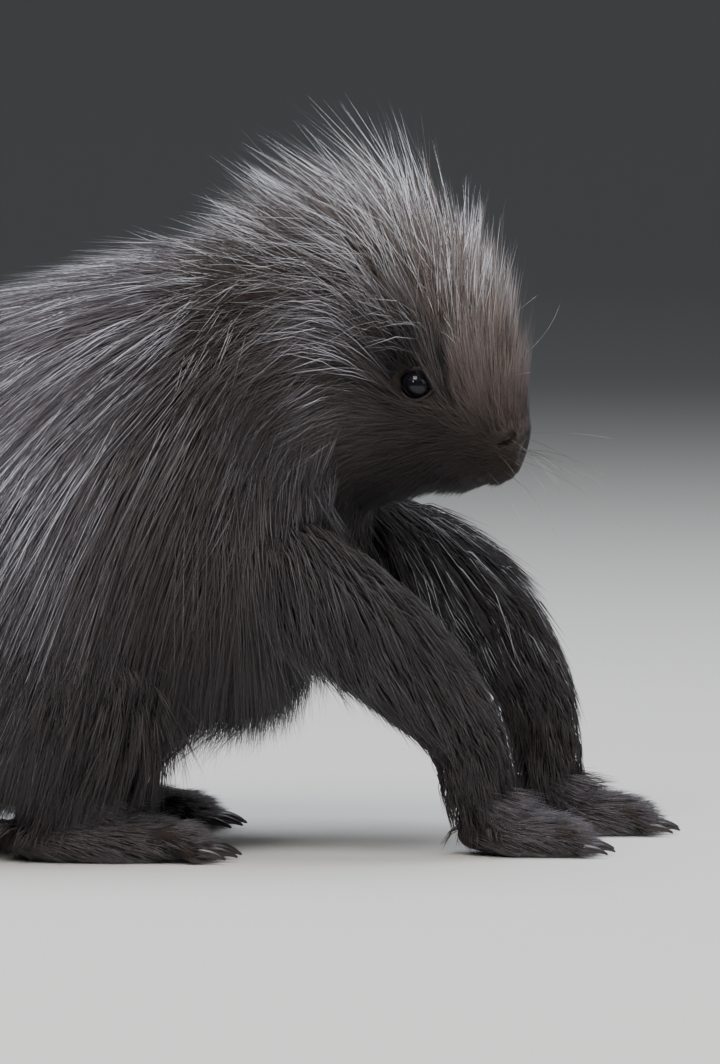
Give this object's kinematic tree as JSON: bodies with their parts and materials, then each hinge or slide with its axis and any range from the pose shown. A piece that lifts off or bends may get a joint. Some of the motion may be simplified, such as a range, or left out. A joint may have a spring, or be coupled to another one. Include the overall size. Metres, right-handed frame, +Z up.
{
  "type": "young porcupine, life-size still model",
  "caption": "Life-size still model of a young porcupine standing hunched on all fours, with its crest raised and its tail laid behind it.",
  "frame": {"origin": "on the floor, under the middle of the bounding box", "axes": "+X towards the nose, +Y to the animal's left, +Z up"},
  "size_m": [0.413, 0.1576, 0.2465],
  "materials": {
    "coat": "long brown underfur under pale-tipped guard hairs",
    "foot": "short dark fur over bare soles",
    "claw": "dark horn, satin",
    "eye": "wet, nearly black"
  },
  "bodies": {
    "root": {"chest": "coat", "ear_left": "coat", "ear_right": "coat", "eye_left": "eye", "eye_right": "eye", "foreleg_left": "coat", "foreleg_right": "coat", "forepaw_left": "foot", "forepaw_left_claw_1": "claw", "forepaw_left_claw_2": "claw", "forepaw_left_claw_3": "claw", "forepaw_left_claw_4": "claw", "forepaw_right": "foot", "forepaw_right_claw_1": "claw", "forepaw_right_claw_2": "claw", "forepaw_right_claw_3": "claw", "forepaw_right_claw_4": "claw", "head": "coat", "hindfoot_left": "foot", "hindfoot_left_claw_1": "claw", "hindfoot_left_claw_2": "claw", "hindfoot_left_claw_3": "claw", "hindfoot_left_claw_4": "claw", "hindfoot_left_claw_5": "claw", "hindfoot_right": "foot", "hindfoot_right_claw_1": "claw", "hindfoot_right_claw_2": "claw", "hindfoot_right_claw_3": "claw", "hindfoot_right_claw_4": "claw", "hindfoot_right_claw_5": "claw", "hindleg_left": "coat", "hindleg_right": "coat", "neck": "coat", "rump": "coat", "tail": "coat"}
  },
  "joints": []
}
